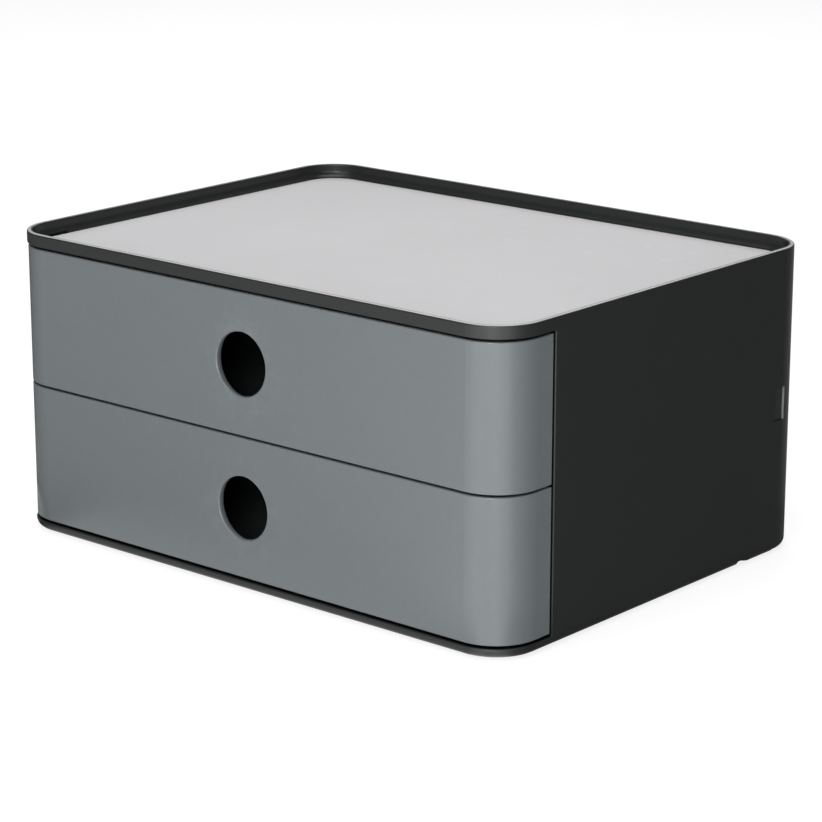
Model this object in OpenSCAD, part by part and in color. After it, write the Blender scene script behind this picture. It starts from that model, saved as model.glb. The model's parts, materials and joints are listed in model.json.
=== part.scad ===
// Desktop file drawer: a moulded housing with an open tray on top and two
// slide-out drawers whose fronts wrap round both front corners.
// Millimetres, +Z up, the front faces -Y. The origin is on the table, under
// the middle of the housing.

/* [Overall] */
// Width of the housing, side to side
body_w = 260; // [240:1:300]
// Depth of the housing, front to back
body_d = 195; // [185:1:240]
// Height from the table to the top of the rim
body_h = 126; // [120:1:150]
// Radius of the four upright corners
corner_r = 19; // [16:0.5:22]

/* [Housing] */
// Thickness of the side walls and of the rim
wall_t = 2.3; // [2:0.1:2.8]
// Height of the underside above the table
foot_proud = 0.5; // [0.4:0.1:1.5]
// Thickness of the bottom
floor_t = 2.8; // [2.4:0.1:3.2]
// Height of the band below the lower drawer front
base_band_h = 4; // [4:0.1:5]
// Rounding of the lower outside edge
base_edge_r = 3.4; // [1:0.1:3.4]
// Height of the band above the upper drawer front
rim_band_h = 5.25; // [4.8:0.05:6]
// Rounding along the top of the rim
rim_edge_r = 0.7; // [0.3:0.1:0.9]
// Depth of the top tray, from the rim to its floor
top_depth = 5.7; // [5:0.1:7]
// Radius of the cove at the foot of the rim
cove_r = 2.9; // [2.6:0.1:3.2]
// Thickness of the deck that carries the tray floor
deck_t = 2; // [1.6:0.1:3]
// Corner radius of the openings that the fronts fill at the sides
opening_r = 0.6; // [0.5:0.1:2]
// Rounding of the edges round those openings
band_edge_r = 0.5; // [0.2:0.1:0.6]
// How far the back of the housing returns past its rounded corners
back_return = 2; // [1:0.5:6]
// Height of the return above and below the back opening
back_lip_h = 5; // [3:0.5:8]

/* [Tray floor and feet] */
// Thickness of the tray floor plate
plate_t = 2; // [1.5:0.1:3]
// Gap round pieces that drop into a seat
seat_gap = 0.1; // [0.05:0.05:0.3]
// Length of a foot, front to back
foot_l = 22; // [16:1:26]
// Width of a foot
foot_w = 12; // [8:1:16]
// Radius of a foot's corners
foot_r = 3; // [1:0.5:3.5]
// Depth of the pocket that holds a foot
foot_sink = 1.1; // [0.8:0.1:1.5]
// Distance from the back of the housing to the rear feet
rear_foot_y = 15.5; // [15:0.5:30]
// Distance from the front of the housing to the front feet
front_foot_y = 22; // [20:1:40]
// Distance from the side of the housing to the rear feet
rear_foot_x = 2.8; // [2.7:0.1:8]
// Distance from the side of the housing to the front feet
front_foot_x = 14; // [8:1:30]
// Length of the notch in front of each rear foot
foot_notch_l = 8; // [2:0.5:10]
// Height of that notch
foot_notch_h = 2.1; // [1:0.1:2.1]

/* [Back panel] */
// Thickness of the back panel
panel_t = 1.6; // [1.4:0.1:2.2]
// How far the panel's flanges reach forward from the back of the housing
flange_l = 25; // [24:0.5:32]
// Height of the snap window in each side
window_h = 13.5; // [8:0.5:20]
// Length of the snap window, front to back
window_l = 6; // [4:0.5:8]
// Distance from the back of the housing to the snap window
window_back = 17; // [16:0.5:18]
// Depth of the snap hook's rear end below the outside face
hook_dip = 0.8; // [0.4:0.1:1.2]
// Clearance between pieces that are pressed or clipped together
fit_gap = 0.2; // [0.1:0.05:0.3]

/* [Divider shelf] */
// Thickness of the shelf between the drawers
shelf_t = 2; // [1.6:0.1:2.4]
// Drop from the lower front's top edge to the shelf's top face
shelf_drop = 0.5; // [0.3:0.1:1]
// Width of the ledges that carry the shelf
ledge_w = 5; // [4:0.5:8]
// Thickness of those ledges
ledge_t = 2; // [1.5:0.1:3]
// Width of the shelf's tongues in the back panel
tongue_w = 24; // [12:1:40]
// Distance of the tongues from the middle
tongue_x = 50; // [30:1:60]

/* [Drawer fronts] */
// Thickness of a drawer front
front_t = 1.6; // [1.4:0.1:2.2]
// Set-back of the fronts from the rim
front_inset = 0.45; // [0.2:0.05:0.6]
// Gap between the two fronts
front_gap = 0.85; // [0.6:0.05:1.4]
// Gap between the fronts and the bands above and below them
band_gap = 1; // [0.6:0.1:1.4]
// Gap between the fronts and the edge of the deck behind them
skirt_gap = 0.8; // [0.3:0.1:1]
// How far the fronts reach along the sides
wrap_l = 28.1; // [26:0.1:40]
// Gap between a front's side and the housing
seam_gap = 0.8; // [0.5:0.1:1.2]
// Rounding of the fronts' outer edges
front_edge_r = 0.5; // [0.2:0.1:0.9]
// Diameter of the finger hole
hole_d = 25.5; // [20:0.5:30]
// Height of the finger hole above the middle of the front
hole_rise = 0; // [-3:0.5:3]
// Rounding of the finger hole's outer edge
hole_edge_r = 0.6; // [0.3:0.1:1]
// Width of the snap tabs behind a front
tab_w = 8; // [5:0.5:12]
// Thickness of the snap tabs
tab_t = 1.6; // [1.2:0.1:2]
// Height of the barb on each tab
barb_h = 0.7; // [0.4:0.1:1]
// Distance of the outer tabs from the middle
tab_x = 85; // [40:1:95]
// Drop from a drawer box's top edge to the middle of the upper tabs
tab_drop = 4.2; // [3.4:0.1:8]
// Rise from a drawer box's underside to the middle of the lower tabs
tab_rise = 15; // [11:0.5:18]

/* [Drawer boxes] */
// Wall thickness of a drawer box
box_wall = 1.8; // [1.4:0.1:2.4]
// Floor thickness of a drawer box
box_floor = 2; // [1.6:0.1:2.6]
// Outer rounding along the bottom of a drawer box
box_edge_r = 2; // [1:0.5:3]
// Inner rounding along the bottom of a drawer box
box_cove_r = 3; // [2:0.5:6]
// Running clearance round a drawer box
run_gap = 0.3; // [0.2:0.05:0.5]
// Free space behind a drawer box
rear_space = 3.2; // [2.8:0.1:6]
// Free space above a drawer box, where the stops engage
head_space = 6; // [5.2:0.1:9]
// Extra radius of the hole in the box behind the finger hole
hole_relief = 1; // [0.5:0.1:2]

/* [Slides and stops] */
// How far a drawer pulls out
travel = 140; // [100:1:142]
// Clearance of the lower drawer box over the lip in front of it
lip_gap = 0.4; // [0.3:0.1:0.8]
// Height of the upper slide strips
rail_h = 1.2; // [0.8:0.1:2]
// Width of a slide strip
rail_w = 6; // [4:0.5:10]
// Distance of the slide strips from the sides of the housing
rail_in = 27; // [22:1:45]
// Distance of the slide strips' front end from the front of the housing
rail_front = 32; // [32:1:60]
// Distance of the slide strips' back end from the back of the housing
rail_back = 28; // [20:1:50]
// Width of a stop catch
catch_w = 14; // [8:1:20]
// Thickness of a stop catch's walls
catch_t = 1.3; // [1:0.1:1.6]
// How far a stop catch grips down the box's back wall
catch_grip = 8; // [5:0.5:12]
// Height of a catch's nose above the box
catch_nose = 4.2; // [3.4:0.1:4.6]
// Distance of the catches from the middle
catch_x = 60; // [50:1:75]
// Clearance between the stop ribs and a box's top edge
rib_clear = 1.2; // [0.8:0.1:1.6]
// Thickness of a stop rib
rib_t = 2; // [1.5:0.1:3]
// Width of the closing stops on the back panel
buffer_w = 3; // [2:0.5:6]
// Distance of the closing stops from the middle
buffer_x = 90; // [80:1:100]

/* [Hidden] */
$fn = 96;

cut = 1; // how far a cutting shape runs past the face it cuts

// Planes of the housing
front_y = -body_d / 2;
back_y = body_d / 2;
side_x = body_w / 2;
base_z = foot_proud;
bay_floor_z = base_z + floor_t;
base_band_z = base_z + base_band_h;
rim_band_z = body_h - rim_band_h;
plate_z = body_h - top_depth;
deck_z = plate_z - plate_t;
ceiling_z = deck_z - deck_t;
cove_in = wall_t + cove_r;

// Drawer fronts
front_lo = base_band_z + band_gap;
front_hi = rim_band_z - band_gap;
front_h = (front_hi - front_lo - front_gap) / 2;
front_pitch = front_h + front_gap;
front_back_in = front_inset + front_t;
leg_end_y = front_y + wrap_l;
wall_start_y = leg_end_y + seam_gap;
skirt_in = front_back_in + skirt_gap;

// Divider shelf, at the gap between the fronts
shelf_top_z = front_lo + front_h - shelf_drop;
shelf_z = shelf_top_z - shelf_t;
window_z = front_lo + front_pitch - front_gap / 2 - window_h / 2;

// Back panel, nested inside the housing's rear corners
panel_out = wall_t + fit_gap;
panel_in = panel_out + panel_t;
flange_y = back_y - flange_l;
window_y1 = back_y - window_back;
window_y0 = window_y1 - window_l;

// Drawer boxes
box_in = panel_in + run_gap;
box_front_y = front_y + front_back_in;
box_back_y = back_y - panel_in - rear_space;
box_r = corner_r - box_in;
lower_box_z = base_band_z + lip_gap;
upper_box_z = shelf_top_z + rail_h + run_gap;
box_h = ceiling_z - upper_box_z - head_space;

// Stops: the catch's front face meets the rib's back face at full travel
catch_front_y = box_back_y - box_wall - catch_t;
rib_y = catch_front_y - travel - run_gap - rib_t;

// Rounded rectangle in plan, set in from the outer faces by the given amount
module plan(inset, r = corner_r) {
    rounded_rect(body_w - 2 * inset, body_d - 2 * inset, r - inset);
}

// Rounded rectangle centred on the origin, with true arcs at its corners
module rounded_rect(w, d, r) {
    square([w - 2 * r, d], center = true);
    square([w, d - 2 * r], center = true);
    for (x = [-1, 1], y = [-1, 1])
        translate([x * (w / 2 - r), y * (d / 2 - r)]) circle(r);
}

// Upright prism between two heights
module prism(z0, z1) {
    translate([0, 0, z0]) linear_extrude(z1 - z0) children();
}

// Carries a profile round a rounded rectangle. In the profile X runs inwards
// from the outer face and Y runs up.
module ring(w, d, r) {
    for (turn = [0 : 3]) {
        half = (turn % 2 == 0 ? w : d) / 2;
        length = (turn % 2 == 0 ? d : w) - 2 * r;
        rotate([0, 0, 90 * turn]) {
            translate([half, length / 2, 0])
                rotate([90, 0, 0]) linear_extrude(length) mirror([1, 0]) children();
            translate([half - r, length / 2, 0])
                rotate_extrude(angle = 90) translate([r, 0]) mirror([1, 0]) children();
        }
    }
}

// Section that rounds an outside edge: what is left over outside an arc.
// The edge points up for up = 1 and down for up = -1.
module edge_section(r, up = 1) {
    mirror([0, up < 0 ? 1 : 0]) difference() {
        translate([-cut, -r]) square([r + cut, r + cut]);
        translate([r, -r]) circle(r);
    }
}

// Cylinder along Y from the given point
module y_cylinder(x, y, z, d, length) {
    translate([x, y, z]) rotate([-90, 0, 0]) cylinder(d = d, h = length);
}

// Box between two corners
module block(lo, hi) {
    translate(lo) cube(hi - lo);
}

// A shape on the right side, and its mirror image on the left
module both_sides() {
    for (left = [0, 1]) mirror([left, 0, 0]) children();
}

// Side view of a piece that ends at a rounded back edge, as wide as the body
module side_view(z0, z1, y0, y1, r) {
    translate([-side_x - cut, 0, 0]) rotate([90, 0, 90])
        linear_extrude(body_w + 2 * cut) {
            translate([y0, z0]) square([y1 - y0 - r, z1 - z0]);
            translate([y1 - r - cut, z0 + r]) square([r + cut, z1 - z0 - 2 * r]);
            for (z = [z0 + r, z1 - r]) translate([y1 - r, z]) circle(r);
        }
}

// Housing: sides, bottom, deck and rim in one moulding, open at the front
module housing_shell() {
    color("#262829") difference() {
        union() {
            difference() {
                prism(base_z, body_h) plan(0);
                bays();
                top_recess();
            }
            shelf_ledges();
            stop_ribs(ceiling_z, upper_box_z + box_h + rib_clear);
        }
        rounded_edges();
        front_opening();
        opening_edges();
        seam_edges();
        back_opening();
        snap_windows();
        foot_pockets();
    }
}

// The hollow that holds both drawers, open at the front above a low lip
module bays() {
    prism(bay_floor_z, ceiling_z) plan(wall_t);
    block([-side_x + wall_t, front_y - cut, base_band_z],
        [side_x - wall_t, front_y + corner_r + cut, ceiling_z]);
}

// The open tray on top: rim, cove and the seat of the floor plate
module top_recess() {
    cove_z = plate_z + cove_r;
    blend = 0.1; // overlap of the cutting shapes
    prism(cove_z, body_h + cut) plan(wall_t);
    prism(deck_z, body_h + cut) plan(cove_in);
    ring(body_w, body_d, corner_r) intersection() {
        translate([cove_in, cove_z]) circle(cove_r);
        translate([wall_t, plate_z]) square([cove_r + blend, cove_r + blend]);
    }
}

// Ledges that carry the divider shelf
module shelf_ledges() {
    both_sides()
        block([side_x - wall_t - ledge_w, wall_start_y + opening_r, shelf_z - ledge_t],
            [side_x - wall_t / 2, flange_y - fit_gap, shelf_z]);
}

// Ribs that stop the catches of one drawer, hanging from the given height
module stop_ribs(top_z, bottom_z) {
    for (x = [-catch_x, catch_x])
        block([x - catch_w / 2 - rib_t, rib_y, bottom_z],
            [x + catch_w / 2 + rib_t, rib_y + rib_t, top_z + deck_t / 2]);
}

// Roundings along the rim and along the bottom
module rounded_edges() {
    ring(body_w, body_d, corner_r) {
        translate([0, body_h]) edge_section(rim_edge_r);
        translate([0, base_z]) edge_section(base_edge_r, -1);
        translate([wall_t, body_h]) mirror([1, 0]) edge_section(rim_edge_r);
    }
}

// Room for the drawer fronts, in front of the side walls and round the deck
module front_opening() {
    difference() {
        side_view(base_band_z, rim_band_z, front_y - cut, wall_start_y, opening_r);
        prism(ceiling_z, rim_band_z + cut) plan(skirt_in);
    }
}

// Roundings of the two bands where they face the drawer fronts
module opening_edges() {
    intersection() {
        ring(body_w, body_d, corner_r) {
            translate([0, base_band_z]) edge_section(band_edge_r);
            translate([0, rim_band_z]) edge_section(band_edge_r, -1);
        }
        block([-side_x - cut, front_y - cut, base_band_z - band_edge_r],
            [side_x + cut, wall_start_y - opening_r, rim_band_z + band_edge_r]);
    }
}

// Roundings of the side walls where they face the drawer fronts, carried
// round the corners of the openings
module seam_edges() {
    z0 = base_band_z + opening_r;
    z1 = rim_band_z - opening_r;
    both_sides() {
        prism(z0, z1) translate([side_x, wall_start_y])
            mirror([1, 0]) edge_section(band_edge_r, -1);
        for (up = [0, 1])
            translate([side_x, wall_start_y - opening_r, up == 1 ? z1 : z0])
                mirror([0, 0, up]) rotate([0, 90, 0]) rotate_extrude(angle = 90)
                    difference() {
                        translate([0, -band_edge_r])
                            square([opening_r + band_edge_r, band_edge_r + cut]);
                        translate([opening_r + band_edge_r, -band_edge_r])
                            circle(band_edge_r);
                    }
    }
}

// Opening at the back, closed from inside by the back panel
module back_opening() {
    half = side_x - corner_r - back_return;
    block([-half, back_y - corner_r, bay_floor_z + back_lip_h],
        [half, back_y + cut, ceiling_z - back_lip_h]);
}

// Windows that the back panel's hooks snap into
module snap_windows() {
    both_sides()
        block([side_x - wall_t - cut, window_y0, window_z],
            [side_x + cut, window_y1, window_z + window_h]);
}

// Centres of the feet: side, then front or back
function foot_x(back) = side_x - foot_w / 2 - (back ? rear_foot_x : front_foot_x);
function foot_y(back) = back ? back_y - rear_foot_y - foot_l / 2
    : front_y + front_foot_y + foot_l / 2;

// Pockets for the feet, and the notches in front of the rear ones
module foot_pockets() {
    notch_y = foot_y(true) - foot_l / 2 - foot_notch_l;
    both_sides() {
        for (back = [false, true]) translate([foot_x(back), foot_y(back), 0])
            prism(base_z - cut, base_z + foot_sink) rounded_rect(foot_w, foot_l, foot_r);
        block([side_x - foot_w, notch_y, base_z - cut],
            [side_x + cut, notch_y + foot_notch_l, base_z + foot_notch_h]);
    }
}

// Pale plate that lies in the top tray
module top_tray_plate() {
    color("#c9c8ca") prism(deck_z, plate_z) plan(cove_in + seat_gap);
}

// Back panel with flanges round the rear corners and two snap hooks
module back_panel() {
    z0 = bay_floor_z + fit_gap;
    z1 = ceiling_z - fit_gap;
    color("#2b2d2e") difference() {
        union() {
            intersection() {
                difference() {
                    prism(z0, z1) plan(panel_out);
                    prism(z0 - cut, z1 + cut) plan(panel_in);
                }
                block([-side_x, flange_y, z0 - cut], [side_x, back_y, z1 + cut]);
            }
            both_sides() snap_hook();
            closing_stops(z0, z1);
        }
        for (x = [-tongue_x, tongue_x])
            block([x - tongue_w / 2 - fit_gap, back_y - panel_in - cut, shelf_z - fit_gap],
                [x + tongue_w / 2 + fit_gap, back_y, shelf_top_z + fit_gap]);
    }
}

// Wedge that fills the snap window, flush in front and set back behind
module snap_hook() {
    root_x = side_x - panel_out - panel_t / 2;
    prism(window_z + fit_gap, window_z + window_h - fit_gap)
        polygon([[root_x, window_y0 + fit_gap], [side_x - fit_gap, window_y0 + fit_gap],
            [side_x - hook_dip, window_y1 - fit_gap], [root_x, window_y1 - fit_gap]]);
}

// Upright ribs that the boxes rest against when the drawers are closed, or
// with a gap the room that they need
module closing_stops(z0, z1, gap = 0) {
    for (x = [-buffer_x, buffer_x])
        block([x - buffer_w / 2 - gap, box_back_y + run_gap - gap, z0],
            [x + buffer_w / 2 + gap, back_y - panel_in + panel_t / 2, z1]);
}

// Shelf between the two drawers, with tongues into the back panel
module divider_shelf() {
    shelf_front_in = skirt_in + fit_gap;
    shelf_r = corner_r - box_in;
    color("#2a2c2d") {
        difference() {
            prism(shelf_z, shelf_top_z) inner_plan(box_in, shelf_front_in,
                back_y - panel_in - fit_gap, shelf_r);
            closing_stops(shelf_z - cut, shelf_top_z + cut, fit_gap);
        }
        for (x = [-tongue_x, tongue_x])
            block([x - tongue_w / 2, back_y - panel_in - cut, shelf_z],
                [x + tongue_w / 2, back_y - panel_out, shelf_top_z]);
        stop_ribs(shelf_z, lower_box_z + box_h + rib_clear);
    }
}

// Plan of a piece inside the housing: its inset at the sides and at the
// front, where its back lies, and its corner radius
module inner_plan(side_in, front_in, y_back, r) {
    y_front = front_y + front_in;
    translate([0, (y_front + y_back) / 2])
        rounded_rect(body_w - 2 * side_in, y_back - y_front, r);
}

// Slide strip, from a bay's floor up to just below the drawer box
module rail(side, upper) {
    x = side * (side_x - rail_in);
    z0 = upper ? shelf_top_z : bay_floor_z;
    z1 = box_z(upper) - run_gap;
    color("#3a3c3d") block([x - rail_w / 2, front_y + rail_front, z0],
        [x + rail_w / 2, back_y - rail_back, z1]);
}

module left_lower_rail() { rail(-1, false); }
module right_lower_rail() { rail(1, false); }
module left_upper_rail() { rail(-1, true); }
module right_upper_rail() { rail(1, true); }

// Rubber foot, seated in its pocket
module foot(side, back) {
    color("#1b1b1c") translate([side * foot_x(back), foot_y(back), 0])
        prism(0, base_z + foot_sink) rounded_rect(foot_w - 2 * seat_gap,
            foot_l - 2 * seat_gap, foot_r - seat_gap);
}

module front_left_foot() { foot(-1, false); }
module front_right_foot() { foot(1, false); }
module rear_left_foot() { foot(-1, true); }
module rear_right_foot() { foot(1, true); }

// Height of a drawer front's middle, and of its finger hole
function front_mid_z(upper) = front_lo + front_h / 2 + (upper ? front_pitch : 0);
function hole_z(upper) = front_mid_z(upper) + hole_rise;

// Height of a drawer box's underside, and of the snap tabs' middles:
// the upper tabs for up = 1 and the lower ones for up = -1
function box_z(upper) = upper ? upper_box_z : lower_box_z;
function tab_z(upper, up) = box_z(upper) + (up > 0 ? box_h - tab_drop : tab_rise);

// Drawer front: a thin panel bent round both corners, with snap tabs behind
module drawer_front(upper) {
    z0 = front_mid_z(upper) - front_h / 2;
    z1 = z0 + front_h;
    outer_y = front_y + front_inset;
    color("#747a7c") {
        difference() {
            intersection() {
                prism(z0, z1) plan(front_inset);
                side_view(z0, z1, front_y - cut, leg_end_y, front_edge_r);
            }
            prism(z0 - cut, z1 + cut) plan(front_back_in);
            ring(body_w - 2 * front_inset, body_d - 2 * front_inset,
                corner_r - front_inset) {
                translate([0, z1]) edge_section(front_edge_r);
                translate([0, z0]) edge_section(front_edge_r, -1);
            }
            both_sides() prism(z0 - cut, z1 + cut)
                translate([side_x - front_inset, leg_end_y])
                    mirror([1, 0]) edge_section(front_edge_r);
            y_cylinder(0, outer_y - cut, hole_z(upper), hole_d, front_t + 2 * cut);
            translate([0, outer_y, hole_z(upper)]) rotate([90, 0, 0])
                rotate_extrude() translate([hole_d / 2, 0]) hole_edge_section();
        }
        for (x = [-tab_x, tab_x], up = [-1, 1])
            snap_tab(x, tab_z(upper, up), up);
    }
}

// Section that rounds the finger hole's outer edge
module hole_edge_section() {
    difference() {
        translate([-cut, -hole_edge_r]) square([hole_edge_r + cut, hole_edge_r + cut]);
        translate([hole_edge_r, -hole_edge_r]) circle(hole_edge_r);
    }
}

// Tab that passes through the box's front wall and hooks behind it
module snap_tab(x, z, up) {
    y0 = box_front_y - front_t / 2;
    y1 = box_front_y + box_wall + fit_gap;
    tip_y = y1 + 2 * barb_h;
    translate([x - tab_w / 2, 0, z]) rotate([90, 0, 90]) linear_extrude(tab_w)
        mirror([0, up < 0 ? 1 : 0])
            polygon([[y0, -tab_t / 2], [tip_y, -tab_t / 2], [tip_y, tab_t / 2],
                [y1, tab_t / 2 + barb_h], [y1, tab_t / 2], [y0, tab_t / 2]]);
}

// Drawer box: open at the top, with rounded corners and a coved floor
module drawer_box(upper) {
    z0 = box_z(upper);
    z1 = z0 + box_h;
    w = body_w - 2 * box_in;
    d = box_back_y - box_front_y;
    inner_w = w - 2 * box_wall;
    inner_d = d - 2 * box_wall;
    inner_r = box_r - box_wall;
    mid_y = (box_back_y + box_front_y) / 2;
    color("#6c7274") difference() {
        translate([0, mid_y, 0]) difference() {
            prism(z0, z1) rounded_rect(w, d, box_r);
            ring(w, d, box_r) translate([0, z0]) edge_section(box_edge_r, -1);
            difference() {
                prism(z0 + box_floor, z1 + cut) rounded_rect(inner_w, inner_d, inner_r);
                ring(inner_w, inner_d, inner_r)
                    translate([0, z0 + box_floor]) edge_section(box_cove_r, -1);
            }
        }
        y_cylinder(0, box_front_y - cut, hole_z(upper), hole_d + 2 * hole_relief,
            box_wall + 2 * cut);
        for (x = [-tab_x, tab_x], up = [-1, 1])
            tab_slot(x, tab_z(upper, up));
    }
}

// Slot that a snap tab passes through
module tab_slot(x, z) {
    translate([x, box_front_y + box_wall / 2, z])
        cube([tab_w + 2 * fit_gap, box_wall + 2 * cut, tab_t + 2 * fit_gap],
            center = true);
}

// Catch that sits astride the box's back wall and keeps the drawer in
module stop_catch(side, upper) {
    top_z = box_z(upper) + box_h;
    slip = seat_gap;
    color("#3f4142") difference() {
        block([side * catch_x - catch_w / 2, catch_front_y, top_z - catch_grip],
            [side * catch_x + catch_w / 2, box_back_y + catch_t, top_z + catch_nose]);
        block([side * catch_x - catch_w / 2 - cut, box_back_y - box_wall - slip,
            top_z - catch_grip - cut],
            [side * catch_x + catch_w / 2 + cut, box_back_y + slip, top_z]);
    }
}

module lower_drawer_box() { drawer_box(false); }
module upper_drawer_box() { drawer_box(true); }
module lower_drawer_front() { drawer_front(false); }
module upper_drawer_front() { drawer_front(true); }
module lower_left_stop_catch() { stop_catch(-1, false); }
module lower_right_stop_catch() { stop_catch(1, false); }
module upper_left_stop_catch() { stop_catch(-1, true); }
module upper_right_stop_catch() { stop_catch(1, true); }

housing_shell();
top_tray_plate();
back_panel();
divider_shelf();
left_lower_rail();
right_lower_rail();
left_upper_rail();
right_upper_rail();
front_left_foot();
front_right_foot();
rear_left_foot();
rear_right_foot();
lower_drawer_box();
lower_drawer_front();
lower_left_stop_catch();
lower_right_stop_catch();
upper_drawer_box();
upper_drawer_front();
upper_left_stop_catch();
upper_right_stop_catch();
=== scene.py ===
# Looks of the desktop file drawer: materials, a plain pale studio, and the
# photograph's camera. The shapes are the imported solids. Lengths are in metres.
import json
import math

import bpy
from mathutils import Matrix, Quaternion, Vector


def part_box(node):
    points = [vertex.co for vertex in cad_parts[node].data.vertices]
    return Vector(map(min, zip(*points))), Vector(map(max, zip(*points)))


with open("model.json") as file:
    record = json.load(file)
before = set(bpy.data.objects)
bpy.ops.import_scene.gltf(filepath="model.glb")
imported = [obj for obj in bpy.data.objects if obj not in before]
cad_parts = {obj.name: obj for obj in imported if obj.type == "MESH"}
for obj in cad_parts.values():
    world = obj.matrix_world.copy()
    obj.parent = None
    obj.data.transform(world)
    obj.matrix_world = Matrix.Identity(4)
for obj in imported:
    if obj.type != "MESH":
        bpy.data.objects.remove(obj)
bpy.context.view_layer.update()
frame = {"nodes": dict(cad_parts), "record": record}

nodes = frame["nodes"]
scene = bpy.context.scene


# ----------------------------------------------------------------- measures

# The housing's outline in plan: half its width and depth, and its corner radius
CORNER_RADIUS = 0.019
housing_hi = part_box("housing_shell")[1]
outline = (housing_hi.x, housing_hi.y, CORNER_RADIUS)

# Middles of the two finger holes, from the fronts' own boxes
hole_heights = []
for name in ("lower_drawer_front", "upper_drawer_front"):
    lo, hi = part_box(name)
    hole_heights.append((lo.z + hi.z) / 2)

# Each pair is the place where a mask is 0 and the place where it is 1. A skin
# is a depth below the housing's outline, and the last two numbers of a group
# of four are the mask's own levels there.
# Painted highlight on the rim's outer top edge, at the front and on the right.
RIM_TOP = (0.12578, 0.1259)
RIM_SKIN = (-0.0018, -0.0014)
RIM_FRONT = (-0.05, -0.08, 0.3, 1.0)
RIM_RIGHT = (0.10, 0.12, 0.3, 1.0)
FOOT_TOP = (0.0032, 0.001, 0.0, 0.04)
# Painted highlight on the rear faces of the two snap windows.
WINDOW_FRONT, WINDOW_REAR = (0.0803, 0.0804), (0.0809, 0.0808)
WINDOW_FOOT, WINDOW_TOP = (0.0556, 0.0560), (0.0697, 0.0693, 0.0, 0.5)
WINDOW_SKIN = (-0.0016, -0.0012)
# Painted shade on the housing's faces behind the closed drawer fronts.
BAY_SKIN = (-0.0005, -0.0008)
BAY_REAR = (-0.0678, -0.0684)
BAY_FOOT, BAY_TOP = (0.0039, 0.0042), (0.1212, 0.1208, 0.0, 0.85)
FINGER_REACH = (0.026, 0.0128)      # from the middle of a finger hole


# ---------------------------------------------------------------- materials

# What every moulded plastic shares. Scales are cells of noise per metre.
CLOUD_SCALE, CLOUD_SHARE = 7.0, 0.65    # slow drift of colour, and its share
SPECKS_PER_GRAIN, SPECK_SHARE = 0.35, 0.35    # fine speckle takes the rest
SMEAR_SCALE = 38.0                      # patches of roughness that hands leave
WAVE_SCALE, WAVE_DEPTH = 26.0, 0.00006  # a moulded wall's faint unevenness
WEAR_AND_HIGHLIGHT_TINT, WEAR_AND_HIGHLIGHT_POLISH = 0.55, 0.1  # how pale and how smooth wear and painted highlights make it


class Tree:
    """A material's node tree, with short calls for the nodes used here."""

    def __init__(self, name):
        self.material = bpy.data.materials.new(name)
        self.material.use_nodes = True
        self.tree = self.material.node_tree
        self.tree.nodes.clear()
        self.out = self.tree.nodes.new("ShaderNodeOutputMaterial")
        self.place = self.tree.nodes.new("ShaderNodeTexCoord").outputs["Object"]

    def node(self, kind, settings=(), **inputs):
        n = self.tree.nodes.new(kind)
        for key, value in dict(settings).items():
            setattr(n, key, value)
        for key, value in inputs.items():
            self.set(n.inputs[key.replace("_", " ")], value)
        return n

    def set(self, socket, value):
        if isinstance(value, bpy.types.NodeSocket):
            self.tree.links.new(value, socket)
        else:
            socket.default_value = value

    def math(self, operation, a, b=0.0, clamp=False):
        n = self.node("ShaderNodeMath", {"operation": operation, "use_clamp": clamp})
        self.set(n.inputs[0], a)
        self.set(n.inputs[1], b)
        return n.outputs[0]

    def times(self, first, *others):
        """The product of two or more values."""
        for other in others:
            first = self.math("MULTIPLY", first, other)
        return first

    def length(self, a, b):
        """The length of the vector (a, b)."""
        return self.math("SQRT", self.math("ADD", self.times(a, a), self.times(b, b)))

    def noise(self, scale, detail=3.0, rough=0.55, stretch=None, offset=(0, 0, 0)):
        """Noise of `scale` cells per metre, 0 to 1, stretched along the axes."""
        place = self.place
        if stretch or any(offset):
            place = self.node("ShaderNodeMapping", Vector=place, Location=offset,
                              Scale=stretch or (1, 1, 1)).outputs[0]
        return self.node("ShaderNodeTexNoise", Vector=place, Scale=scale,
                         Detail=detail, Roughness=rough).outputs["Fac"]

    def span(self, value, lo, hi, to_lo=0.0, to_hi=1.0):
        """value, with lo to hi turned into to_lo to to_hi."""
        n = self.node("ShaderNodeMapRange", {"clamp": True})
        for socket, v in zip(n.inputs, (value, lo, hi, to_lo, to_hi)):
            self.set(socket, v)
        return n.outputs[0]

    def within(self, value, rise, fall):
        """A mask of the values between two spans, one rising and one falling."""
        return self.times(self.span(value, *rise), self.span(value, *fall))

    def mix(self, factor, a, b):
        """A colour between a and b."""
        n = self.node("ShaderNodeMix", {"data_type": "RGBA"})
        for index, v in ((0, factor), (6, a), (7, b)):
            self.set(n.inputs[index], v)
        return n.outputs[2]

    def axis(self, index):
        n = self.node("ShaderNodeSeparateXYZ", Vector=self.place)
        return n.outputs[index]

    def beyond(self, half_width, half_depth, radius):
        """Distance outwards from the outline of a rounded rectangle in plan,
        negative inside it."""
        over = []
        for index, half in ((0, half_width), (1, half_depth)):
            along = self.math("ABSOLUTE", self.axis(index))
            over.append(self.math("SUBTRACT", along, half - radius))
        reach = self.length(*[self.math("MAXIMUM", v, 0.0) for v in over])
        inner = self.math("MINIMUM", self.math("MAXIMUM", *over), 0.0)
        return self.math("SUBTRACT", self.math("ADD", reach, inner), radius)

    def bump(self, height, distance, normal=None):
        n = self.node("ShaderNodeBump", Height=height, Distance=distance,
                      Strength=1.0)
        if normal is not None:
            self.set(n.inputs["Normal"], normal)
        return n.outputs[0]

    def between(self, factor, first, second):
        """A shader between two, by factor."""
        n = self.node("ShaderNodeMixShader")
        sockets = (factor, first.outputs[0], second.outputs[0])
        for socket, v in zip(n.inputs, sockets):
            self.set(socket, v)
        return n

    def surfaced(self, shader):
        """The material, with the shader as its surface."""
        self.tree.links.new(shader.outputs[0], self.out.inputs["Surface"])
        return self.material


def rgb(r, g, b):
    return (r, g, b, 1.0)


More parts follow.
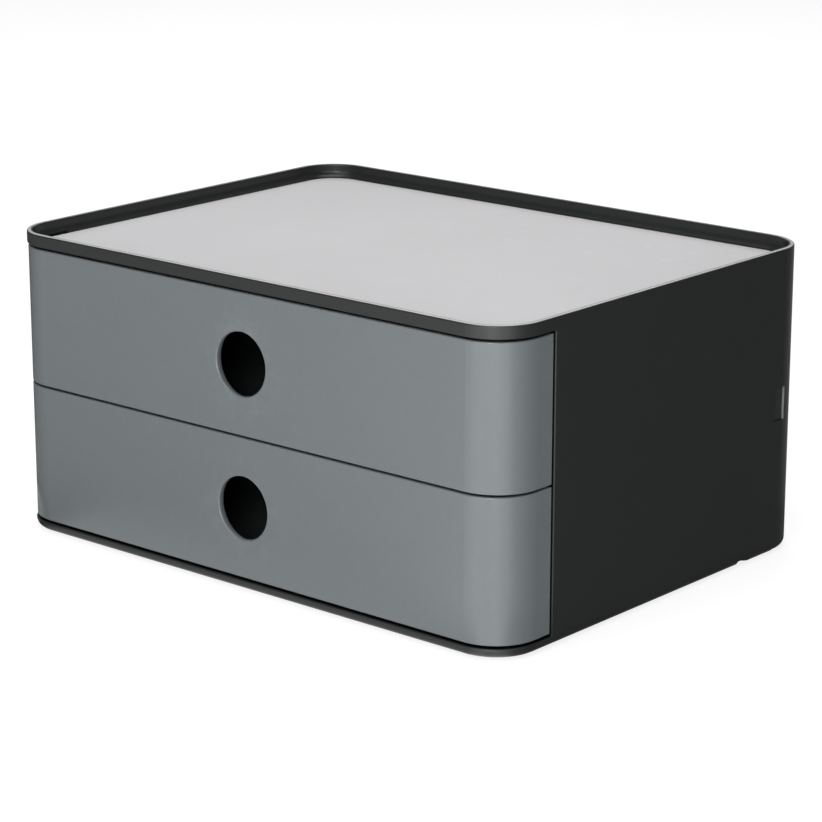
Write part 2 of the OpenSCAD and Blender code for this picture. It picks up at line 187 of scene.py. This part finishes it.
def moulded(name, dark, light, rough, grain, depth, specular=0.5, wear_and_highlight=None,
            pale=None, painted_shade=None):
    """Moulded plastic. dark and light bound its colour, rough its roughness,
    grain and depth are the size and depth of its surface grain.
    wear_and_highlight(tree) gives a mask of where it turns towards the colour
    pale, which is wear on most parts and painted highlights on the housing, and
    painted_shade(tree) a mask of faces painted near black as painted shade."""
    t = Tree(name)
    cloud = t.span(t.noise(CLOUD_SCALE, 4.0), 0.3, 0.7)
    speck = t.span(t.noise(SPECKS_PER_GRAIN / grain, 2.0), 0.3, 0.7)
    tone = t.math("ADD", t.times(cloud, CLOUD_SHARE), t.times(speck, SPECK_SHARE))
    colour = t.mix(tone, rgb(*dark), rgb(*light))
    smear = t.span(t.noise(SMEAR_SCALE, 5.0, 0.65, offset=(3, 1, 2)), 0.3, 0.72)
    roughness = t.span(smear, 0.0, 1.0, *rough)
    # The mask pales the colour: wear on most parts, painted highlights on the
    # housing.
    if wear_and_highlight:
        wear_and_highlight_mask = wear_and_highlight(t)
        pale = pale or tuple(min(1.0, 1.35 * c + 0.01) for c in light)
        colour = t.mix(t.times(wear_and_highlight_mask, WEAR_AND_HIGHLIGHT_TINT), colour, rgb(*pale))
        roughness = t.math("SUBTRACT", roughness, t.times(wear_and_highlight_mask, WEAR_AND_HIGHLIGHT_POLISH))
    wave = t.bump(t.noise(WAVE_SCALE, 2.0, 0.4, offset=(1, 5, 3)), WAVE_DEPTH)
    normal = t.bump(t.noise(1.0 / grain, 2.5, 0.6), depth, normal=wave)
    surface = t.node("ShaderNodeBsdfPrincipled", Base_Color=colour,
                     Roughness=roughness, Normal=normal)
    surface.inputs["Specular IOR Level"].default_value = specular
    # Painted shade: faces under the mask are mixed towards a near-black matt shader.
    if painted_shade:
        shade = t.node("ShaderNodeBsdfDiffuse", Color=rgb(0.003, 0.003, 0.003))
        surface = t.between(painted_shade(t), surface, shade)
    return t.surfaced(surface)


def painted_edge_highlights(t):
    """Painted highlights: the rim's outer top edge, pale at the front and on the
    right, and the rear faces of the two snap windows, pale as lit faces. The
    housing's lower edge is also made faintly paler."""
    z = t.axis(2)
    edge = t.beyond(*outline)
    # Painted highlight: the rim's top edge, only at the front and on the right.
    highlight_sides = t.math("MAXIMUM", t.span(t.axis(1), *RIM_FRONT),
                     t.span(t.axis(0), *RIM_RIGHT))
    top = t.times(t.span(z, *RIM_TOP), t.span(edge, *RIM_SKIN), highlight_sides)
    foot = t.span(z, *FOOT_TOP)
    # Painted highlight: the snap windows' rear faces.
    window = t.times(t.within(t.axis(1), WINDOW_FRONT, WINDOW_REAR),
                     t.within(z, WINDOW_FOOT, WINDOW_TOP),
                     t.span(edge, *WINDOW_SKIN))
    patch = t.span(t.noise(55.0, 5.0, 0.7, offset=(7, 0, 4)), 0.3, 0.7, 0.75, 1.0)
    wear_and_highlight = t.math("MAXIMUM", t.math("MAXIMUM", top, foot), window)
    return t.math("MULTIPLY", wear_and_highlight, patch, True)


def painted_shade_behind_fronts(t):
    """Painted shade: the housing's faces behind the closed drawer fronts."""
    return t.times(t.span(t.beyond(*outline), *BAY_SKIN),
                   t.span(t.axis(1), *BAY_REAR),
                   t.within(t.axis(2), BAY_FOOT, BAY_TOP))


def handled_front(t):
    """Round the finger holes, where fingertips land."""
    x, z = t.axis(0), t.axis(2)
    masks = []
    for mid in hole_heights:
        far = t.length(x, t.math("SUBTRACT", z, mid))
        masks.append(t.span(far, *FINGER_REACH))
    patch = t.span(t.noise(160.0, 4.0, 0.7), 0.45, 0.8)
    return t.math("MULTIPLY", t.math("MAXIMUM", *masks), patch, True)


def scuffed(t):
    """Short fine scuffs in two directions, as things slid about leave."""
    a = t.span(t.noise(60.0, 3.0, 0.6, stretch=(1, 26, 1)), 0.66, 0.72)
    b = t.span(t.noise(60.0, 3.0, 0.6, stretch=(22, 1.5, 1), offset=(2, 2, 0)),
               0.68, 0.74)
    where = t.span(t.noise(9.0, 2.0, offset=(4, 4, 4)), 0.45, 0.65)
    return t.math("MULTIPLY", t.math("MAXIMUM", a, b), where, True)


finishes = {
    "housing_black": moulded(
        "housing_black_moulded", (0.0122, 0.0135, 0.0131), (0.0172, 0.0187, 0.0183),
        rough=(0.28, 0.36), grain=0.00035, depth=0.000006, specular=0.34,
        # pale is the near-white of the housing's painted highlights, and the faces
        # behind the drawer fronts get painted shade.
        wear_and_highlight=painted_edge_highlights, pale=(0.92, 0.92, 0.92), painted_shade=painted_shade_behind_fronts),
    "tray_plate_grey": moulded(
        "tray_plate_satin", (0.56, 0.551, 0.563), (0.627, 0.616, 0.629),
        rough=(0.55, 0.65), grain=0.0003, depth=0.000004, specular=0.25,
        wear_and_highlight=scuffed),
    "inner_black": moulded(
        "inner_black_satin", (0.010, 0.010, 0.0102), (0.015, 0.015, 0.0152),
        rough=(0.34, 0.44), grain=0.0004, depth=0.000006, specular=0.45,
        wear_and_highlight=scuffed),
    "slide_strip": moulded(
        "slide_strip_smooth", (0.028, 0.028, 0.030), (0.042, 0.042, 0.044),
        rough=(0.22, 0.34), grain=0.0005, depth=0.000003, wear_and_highlight=scuffed),
    "foot_rubber": moulded(
        "foot_rubber_matt", (0.009, 0.009, 0.009), (0.015, 0.015, 0.015),
        rough=(0.74, 0.88), grain=0.00025, depth=0.00002, specular=0.3),
    "box_grey": moulded(
        "box_grey_satin", (0.112, 0.127, 0.132), (0.125, 0.141, 0.146),
        rough=(0.30, 0.42), grain=0.0004, depth=0.000005, specular=0.45,
        wear_and_highlight=scuffed),
    "front_grey": moulded(
        "front_grey_gloss", (0.118, 0.134, 0.139), (0.128, 0.145, 0.150),
        rough=(0.17, 0.22), grain=0.0009, depth=0.0000015, wear_and_highlight=handled_front),
    "catch_black": moulded(
        "catch_black_smooth", (0.022, 0.022, 0.023), (0.032, 0.032, 0.033),
        rough=(0.28, 0.38), grain=0.0004, depth=0.000004),
}
for part in frame["record"]["subparts"]:
    o = nodes[part["node"]]
    o.data.materials.clear()
    o.data.materials.append(finishes[part["material_slot"]])


# ------------------------------------------------------------------- studio

# The floor. Its glow is what the housing's walls mirror, as pairs of azimuth
# and level, with azimuth 0 in front and 90 to the right.
FLOOR_HALF, FLOOR_DROP = 8, 0.0001
FLOOR_DIFFUSE, FLOOR_SEEN, FLOOR_SHARE = 0.75, 0.8, 0.3
GLOW_PIVOT = (0.105, -0.075)
GLOW_LEVELS = [
    (-180, 0.3), (-150, 0.6), (-115, 0.0), (-80, 0.3), (-60, 0.71), (-40, 1.09),
    (-20, 2.1), (0, 2.65), (20, 2.5), (40, 2.8), (60, 2.2), (80, 0.91),
    (105, 0.38), (135, 0.17), (160, 0.15), (180, 0.3)]
NEAR_TO_FAR = (0.015, 0.06)     # distances over which the two directions blend
CONTACT = (0.0, 0.006, 0.6, 1.0)    # painted shadow: the glow falls off next to the housing
MIRROR_AZIMUTH = math.radians(40.7)     # the camera's own azimuth


def floor_shader(name, diffuse, seen, share, pivot, reflected):
    """The studio's matt floor. The camera sees `seen` of plain white, with
    `share` of the floor's own light and shade on top. Glossy reflections see a
    level that changes with the direction from the pivot. Close to the housing,
    the direction is the one that the camera sees mirrored in the nearest point
    of the housing's outline, and the level falls off as a painted shadow."""
    t = Tree(name)
    plain = t.node("ShaderNodeBsdfDiffuse", Color=rgb(diffuse, diffuse, diffuse))
    shade = t.node("ShaderNodeBsdfDiffuse", Color=rgb(share, share, share))
    white = t.node("ShaderNodeEmission", Color=rgb(1, 1, 1), Strength=seen)
    both = t.node("ShaderNodeAddShader")
    t.set(both.inputs[0], shade.outputs[0])
    t.set(both.inputs[1], white.outputs[0])

    x, y = t.axis(0), t.axis(1)
    far = t.math("ARCTAN2", t.math("SUBTRACT", x, pivot[0]),
                 t.math("SUBTRACT", pivot[1], y))
    flat_x, flat_y = outline[0] - outline[2], outline[1] - outline[2]
    aside = t.math("ADD", t.math("MAXIMUM", t.math("SUBTRACT", x, flat_x), 0.0),
                   t.math("MINIMUM", t.math("ADD", x, flat_x), 0.0))
    aside = t.math("ADD", aside, t.math("MAXIMUM", y, 0.0))
    ahead = t.math("MAXIMUM", t.math("SUBTRACT", -flat_y, y), 0.0)
    near = t.math("SUBTRACT", t.times(t.math("ARCTAN2", aside, ahead), 2.0),
                  MIRROR_AZIMUTH)
    away = t.beyond(*outline)
    blend = t.span(away, *NEAR_TO_FAR)
    turn = t.math("ADD", t.times(far, blend),
                  t.times(near, t.math("SUBTRACT", 1.0, blend)))
    turns = t.times(turn, 0.5 / math.pi)

    ramp = t.node("ShaderNodeValToRGB", Fac=t.math("ADD", turns, 0.5))
    top = max(level for azimuth, level in reflected)
    stops = ramp.color_ramp.elements
    while len(stops) < len(reflected):
        stops.new(0.5)
    for stop, (azimuth, level) in zip(stops, sorted(reflected)):
        stop.position = azimuth / 360 + 0.5
        stop.color = rgb(level / top, level / top, level / top)
    glow = t.node("ShaderNodeEmission", Color=ramp.outputs["Color"],
                  Strength=t.times(t.span(away, *CONTACT), top))

    ray = t.node("ShaderNodeLightPath")
    unseen = t.between(ray.outputs["Is Glossy Ray"], plain, glow)
    return t.surfaced(t.between(ray.outputs["Is Camera Ray"], unseen, both))


floor_mesh = bpy.data.meshes.new("studio_floor")
floor_mesh.from_pydata([(-FLOOR_HALF, -FLOOR_HALF, 0), (FLOOR_HALF, -FLOOR_HALF, 0),
                        (FLOOR_HALF, FLOOR_HALF, 0), (-FLOOR_HALF, FLOOR_HALF, 0)],
                       [], [(0, 1, 2, 3)])
floor = bpy.data.objects.new("studio_floor", floor_mesh)
floor.location.z = -FLOOR_DROP
floor.data.materials.append(floor_shader(
    "studio_floor_white", FLOOR_DIFFUSE, FLOOR_SEEN, FLOOR_SHARE, GLOW_PIVOT,
    GLOW_LEVELS))
scene.collection.objects.link(floor)

# The world: a dim white light, and plain white where the camera sees it
world = bpy.data.worlds.new("studio_world")
world.use_nodes = True
sky = world.node_tree
sky.nodes.clear()
sky_out = sky.nodes.new("ShaderNodeOutputWorld")
sky_ray = sky.nodes.new("ShaderNodeLightPath")
sky_mix = sky.nodes.new("ShaderNodeMixShader")
sky.links.new(sky_ray.outputs["Is Camera Ray"], sky_mix.inputs[0])
for socket, level in ((1, 0.18), (2, 1.0)):
    glow = sky.nodes.new("ShaderNodeBackground")
    glow.inputs["Color"].default_value = rgb(1, 1, 1)
    glow.inputs["Strength"].default_value = level
    sky.links.new(glow.outputs[0], sky_mix.inputs[socket])
sky.links.new(sky_mix.outputs[0], sky_out.inputs["Surface"])
scene.world = world


def toward(azimuth, elevation):
    """Direction from the object: azimuth 0 is in front, 90 is to the right."""
    a, e = math.radians(azimuth), math.radians(elevation)
    return Vector((math.sin(a) * math.cos(e), -math.cos(a) * math.cos(e),
                   math.sin(e)))


def softbox(name, azimuth, elevation, distance, width, height, level):
    """Area lamp facing the object; level is the radiance of its face."""
    data = bpy.data.lights.new(name, "AREA")
    data.shape = "RECTANGLE"
    data.size, data.size_y = width, height
    data.energy = level * math.pi * width * height
    lamp = bpy.data.objects.new(name, data)
    back = toward(azimuth, elevation)
    lamp.location = Vector((0, 0, 0.06)) + back * distance
    lamp.rotation_mode = "QUATERNION"
    lamp.rotation_quaternion = (-back).to_track_quat("-Z", "Y")
    lamp.visible_camera = False
    scene.collection.objects.link(lamp)


softbox("key", 8, 40, 1.6, 0.9, 0.9, 1.9)
softbox("low_left", 0, 11, 1.2, 0.42, 0.6, 1.8)
softbox("low_middle", 30, 11, 1.2, 0.42, 0.6, 9.2)
softbox("low_right", 60, 11, 1.2, 0.42, 0.6, 2.6)
softbox("overhead", 0, 88, 1.6, 1.2, 1.2, 2.95)
softbox("rear", 220, 35, 1.8, 1.2, 0.6, 2.8)


# ------------------------------------------------------------------- camera

# Fitted to the photo's edges: the focal length and the picture's width in
# pixels, the point looked at, the distance to it, and a hair of roll.
FOCAL_PIXELS, PICTURE_PIXELS = 2922.242, 822
CAMERA_AZIMUTH, CAMERA_ELEVATION = 40.682, 15.736
CAMERA_AIM = Vector((0.049989, -0.055409, 0.0733))
CAMERA_DISTANCE = 1.118226
CAMERA_ROLL = math.radians(0.036)

camera_data = bpy.data.cameras.new("camera")
camera_data.sensor_width = 36.0
camera_data.lens = FOCAL_PIXELS / PICTURE_PIXELS * camera_data.sensor_width
camera_data.clip_start, camera_data.clip_end = 0.05, 50.0
camera = bpy.data.objects.new("camera", camera_data)
back = toward(CAMERA_AZIMUTH, CAMERA_ELEVATION)
camera.location = CAMERA_AIM + back * CAMERA_DISTANCE
camera.rotation_mode = "QUATERNION"
camera.rotation_quaternion = ((-back).to_track_quat("-Z", "Y")
                              @ Quaternion((0, 0, 1), CAMERA_ROLL))
scene.collection.objects.link(camera)
scene.camera = camera
scene.view_settings.view_transform = "Standard"
